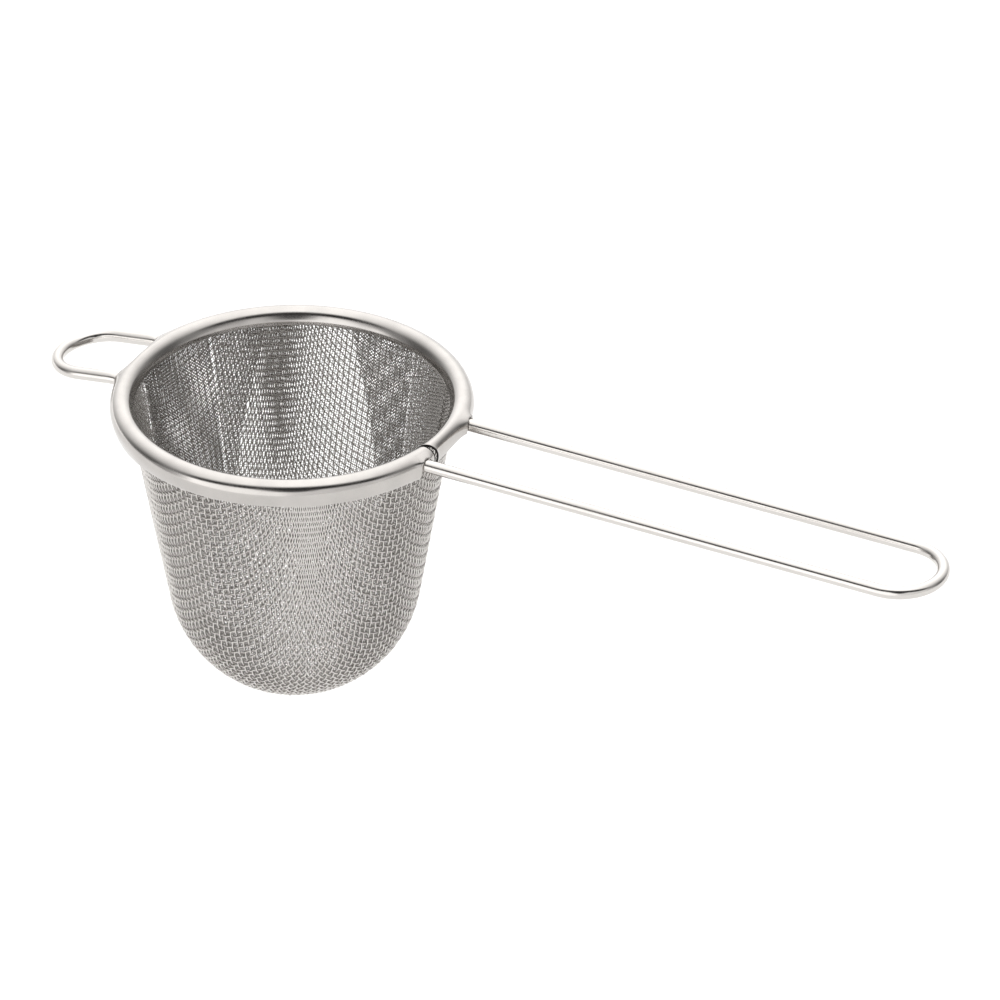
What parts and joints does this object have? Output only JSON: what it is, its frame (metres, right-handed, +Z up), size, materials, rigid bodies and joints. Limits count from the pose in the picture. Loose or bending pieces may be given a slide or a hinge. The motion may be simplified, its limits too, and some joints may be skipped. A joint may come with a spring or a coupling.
{
  "type": "tea strainer",
  "caption": "Deep round-bottomed tea strainer of woven wire net in a rolled rim, with a long wire loop handle and a short wire rest loop opposite.",
  "frame": {"origin": "on the rim's axis, level with the underside of the handle wire, the plane that a cup's lip touches", "axes": "+Z up out of the basket's mouth, +X along the handle away from the basket, +Y to the left of the handle seen from the rim"},
  "size_m": [0.1898, 0.07, 0.0645],
  "materials": {
    "band": "satin, rolled stainless strip",
    "wire": "bright electropolished stainless wire",
    "weld": "ground weld",
    "coarse_net": "drawn stainless wire, plain weave",
    "fine_net": "fine drawn stainless wire, plain weave"
  },
  "bodies": {
    "root": {"rim_band": "band", "handle_wire": "wire", "rest_loop_wire": "wire", "butt_welds": "weld", "coarse_net": "coarse_net", "fine_net": "fine_net"}
  },
  "joints": []
}
